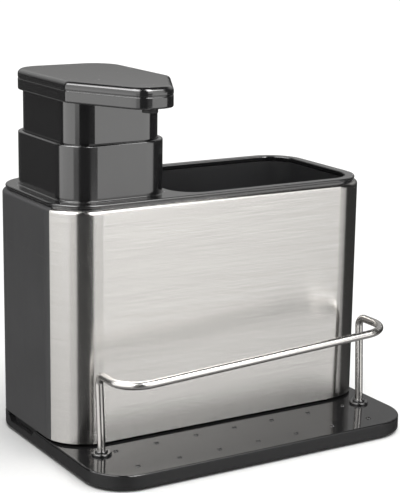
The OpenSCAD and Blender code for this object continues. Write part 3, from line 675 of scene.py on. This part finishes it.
def makeHeadCase(shape):
    low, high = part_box("head_shell")
    wall, line, edge, lip, hold = (headShape["wall"], shape["line"], shape["edgeRadius"],
                                   shape["lipRadius"], shape["hold"])
    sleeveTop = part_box("guide_sleeve")[1].z
    floorTop = sleeveTop + wall
    partingZ = high.z - line
    stemLow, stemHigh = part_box("pump_stem")
    nozzleLow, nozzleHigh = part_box("nozzle")
    stemX, stemY = (stemLow.x + stemHigh.x) / 2, (stemLow.y + stemHigh.y) / 2
    nozzleY = (nozzleLow.y + nozzleHigh.y) / 2
    bore = (stemHigh.x - stemLow.x) / 2 + shape["boreSpare"]
    hole = (nozzleHigh.x - nozzleLow.x) / 2 + shape["boreSpare"]
    socket = shape["socketRadius"]
    profile = [(edge + hold, sleeveTop)]
    profile += roundedEdge(edge, sleeveTop + edge, edge, -90, 0, shape["edgeSteps"])
    profile += [(0, sleeveTop + edge + hold), (0, partingZ - lip - hold)]
    profile += roundedEdge(lip, partingZ - lip, lip, 0, 90, shape["lipSteps"])
    profile += [(line, partingZ), (line, high.z), (wall, high.z), (wall, floorTop)]
    bm = bmesh.new()
    skin = joinRings(bm, [outlineRing(headCorners, inset, z) for inset, z in profile])
    chamfer = shape["socketChamfer"]
    socketRings = [(bore, floorTop), (bore, low.z + chamfer), (bore + chamfer, low.z),
                   (socket - chamfer, low.z), (socket, low.z + chamfer), (socket, sleeveTop)]
    tube = joinRings(bm, [roundRing(stemX, stemY, radius, z) for radius, z in socketRings])
    nozzleHole = joinRings(bm, [roundRing(stemX, nozzleY, hole, z, shape["nozzleSteps"])
                                for z in (floorTop, sleeveTop)])
    fillBetween(bm, skin[-1], [tube[0], nozzleHole[0]])
    fillBetween(bm, skin[0], [tube[-1], nozzleHole[-1]])
    return finishPiece("headCase", bm, headFinish, "pump_head", "head_shell")


makeHeadCase(caseShape)
print("pump head built")


# Round wire along a path
def wireSkin(bm, path, radius, sides, chamfer):
    side = Vector((1, 0, 0))
    rings = []
    last = len(path) - 1
    for index, point in enumerate(path):
        way = (path[min(index + 1, last)] - path[max(index - 1, 0)]).normalized()
        side = (side - way * side.dot(way)).normalized()
        across = way.cross(side)
        spokes = [side * math.cos(math.tau * k / sides) + across * math.sin(math.tau * k / sides)
                  for k in range(sides)]
        if index == 0:
            rings.append([point + spoke * (radius - chamfer) for spoke in spokes])
            point = point + way * chamfer
        if index == last:
            rings.append([point - way * chamfer + spoke * radius for spoke in spokes])
            rings.append([point + spoke * (radius - chamfer) for spoke in spokes])
        else:
            rings.append([point + spoke * radius for spoke in spokes])
    made = joinRings(bm, rings)
    bm.faces.new(made[0])
    bm.faces.new(made[-1])


def bend(centre, outward, onward, radius, steps):
    angles = [math.pi / 2 * k / steps for k in range(steps + 1)]
    return [centre + radius * (outward * math.cos(angle) + onward * math.sin(angle)) for angle in angles]


# Rail: one length of round wire, up a leg, round the front and down again
railShape = {"radius": 0.002, "leftTop": 0.0475, "rightTop": 0.055, "cornerRadius": 0.014,
             "legRadius": 0.0045, "legLean": 0.0022, "footAbove": 0.001, "endChamfer": 0.0003,
             "sides": 36, "bendSteps": 18}


def makeRail(shape):
    low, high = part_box("wire_rail")
    radius, corner, leg = shape["radius"], shape["cornerRadius"], shape["legRadius"]
    steps = shape["bendSteps"]
    topY, frontY = high.y - radius, low.y + radius
    footY = topY - shape["legLean"]
    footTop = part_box("rail_bushes")[1].z + shape["footAbove"]
    left = Vector((low.x + radius, frontY, shape["leftTop"]))
    right = Vector((high.x - radius, frontY, shape["rightTop"]))
    along = (right - left).normalized()
    inward, up = Vector((0, 1, 0)), Vector((0, 0, 1))
    legTop = Vector((0, topY - frontY - leg, -leg))
    path = [Vector((left.x, footY, z)) for z in (low.z, footTop)]
    path += bend(left + legTop, inward, up, leg, steps)
    path += bend(left + corner * (along + inward), -along, -inward, corner, steps)
    path += bend(right + corner * (inward - along), -inward, along, corner, steps)
    path += bend(right + legTop, up, inward, leg, steps)
    path += [Vector((right.x, footY, z)) for z in (footTop, low.z)]
    bm = bmesh.new()
    wireSkin(bm, path, radius, shape["sides"], shape["endChamfer"])
    return finishPiece("railWire", bm, wireFinish, "tray", "wire_rail")


makeRail(railShape)
print("rail bent")


# Return spring in the pump: closed, flat ends and open coils between
springShape = {"wire": 0.001, "turns": 8, "closedTurns": 1.0, "closedPitchShare": 1.04,
               "chamferShare": 0.1, "ringsPerTurn": 32, "sides": 14}


def makeSpring(shape):
    low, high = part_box("return_spring")
    wire = shape["wire"]
    x, y = (low.x + high.x) / 2, (low.y + high.y) / 2
    radius = (high.x - low.x) / 2 - wire / 2
    closed, turns = shape["closedTurns"], shape["turns"]
    span = high.z - low.z - wire
    closedRise = closed * wire * shape["closedPitchShare"]
    path = []
    for step in range(turns * shape["ringsPerTurn"] + 1):
        turn = step / shape["ringsPerTurn"]
        if turn < closed:
            rise = closedRise * turn / closed
        elif turn > turns - closed:
            rise = span - closedRise * (turns - turn) / closed
        else:
            rise = closedRise + (span - closedRise * 2) * (turn - closed) / (turns - closed * 2)
        angle = math.tau * turn
        path.append(Vector((x + radius * math.cos(angle), y + radius * math.sin(angle),
                            low.z + wire / 2 + rise)))
    bm = bmesh.new()
    wireSkin(bm, path, wire / 2, shape["sides"], wire * shape["chamferShare"])
    spring = finishPiece("springCoil", bm, springFinish, "cover", "return_spring")
    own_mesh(spring)
    return spring


makeSpring(springShape)
print("spring wound")


# Floor: a wide pale sheet that catches the contact shadow
floorShape = {
    "radii": (0.6, 7.0), "drop": 0.0002, "steps": 96, "colour": (0.86, 0.86, 0.855),
    "fibre": (300.0, 4.0, 0.6), "fibreEnds": (0.35, 0.65), "fibreShare": 0.985,
    "sockets": {"Roughness": 0.9, "Specular IOR Level": 0.0},
}


def makeFloor(shape):
    material, tree, shader = startFinish("floorPaper", shape)
    fibre = noiseAt(tree, objectPlace(tree), *shape["fibre"])
    fibreColour = tuple(value * shape["fibreShare"] for value in shape["colour"])
    mask = spread(tree, fibre, *shape["fibreEnds"])
    plug(tree, shader["Base Color"], tint(tree, mask, shape["colour"], fibreColour))
    bm = bmesh.new()
    rings = joinRings(bm, [roundRing(0, 0, radius, -shape["drop"], shape["steps"])
                           for radius in shape["radii"]])
    bm.faces.new(rings[0])
    bmesh.ops.recalc_face_normals(bm, faces=bm.faces[:])
    mesh = bpy.data.meshes.new("floor")
    bm.to_mesh(mesh)
    bm.free()
    mesh.materials.append(material)
    floor = bpy.data.objects.new("floor", mesh)
    floor.visible_glossy = False
    scene.collection.objects.link(floor)


makeFloor(floorShape)
print("floor laid")
